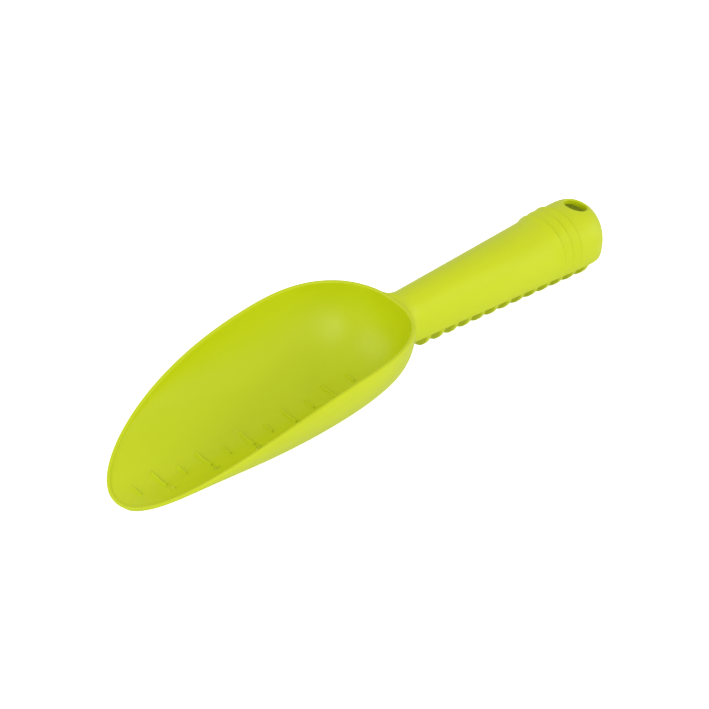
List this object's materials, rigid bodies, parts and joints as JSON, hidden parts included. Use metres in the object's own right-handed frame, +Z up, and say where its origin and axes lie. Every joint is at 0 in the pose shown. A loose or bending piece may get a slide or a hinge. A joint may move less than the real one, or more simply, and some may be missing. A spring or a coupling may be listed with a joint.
{
  "type": "hand trowel",
  "caption": "Moulded plastic hand scoop trowel: deep open bowl blade with raised centimetre marks, hollow ribbed arch handle with domed end and hanging hole.",
  "frame": {"origin": "middle of the small flat under the blade, where the tool rests; Z = 0 is the plane that it lies on and Y = 0 its plane of symmetry", "axes": "+X from the blade's tip to the handle's end, +Y to the left of the blade, +Z up, out of the bowl"},
  "size_m": [0.2385, 0.0652, 0.0332],
  "materials": {
    "lime_plastic": "matte moulded polypropylene, lime green"
  },
  "bodies": {
    "root": {"scoop_blade": "lime_plastic", "handle_shell": "lime_plastic", "grip_rib_01": "lime_plastic", "grip_rib_02": "lime_plastic", "grip_rib_03": "lime_plastic", "grip_rib_04": "lime_plastic", "grip_rib_05": "lime_plastic", "grip_rib_06": "lime_plastic", "grip_rib_07": "lime_plastic", "grip_rib_08": "lime_plastic", "grip_rib_09": "lime_plastic", "grip_rib_10": "lime_plastic", "grip_rib_11": "lime_plastic", "grip_rib_12": "lime_plastic", "grip_rib_13": "lime_plastic"}
  },
  "joints": []
}
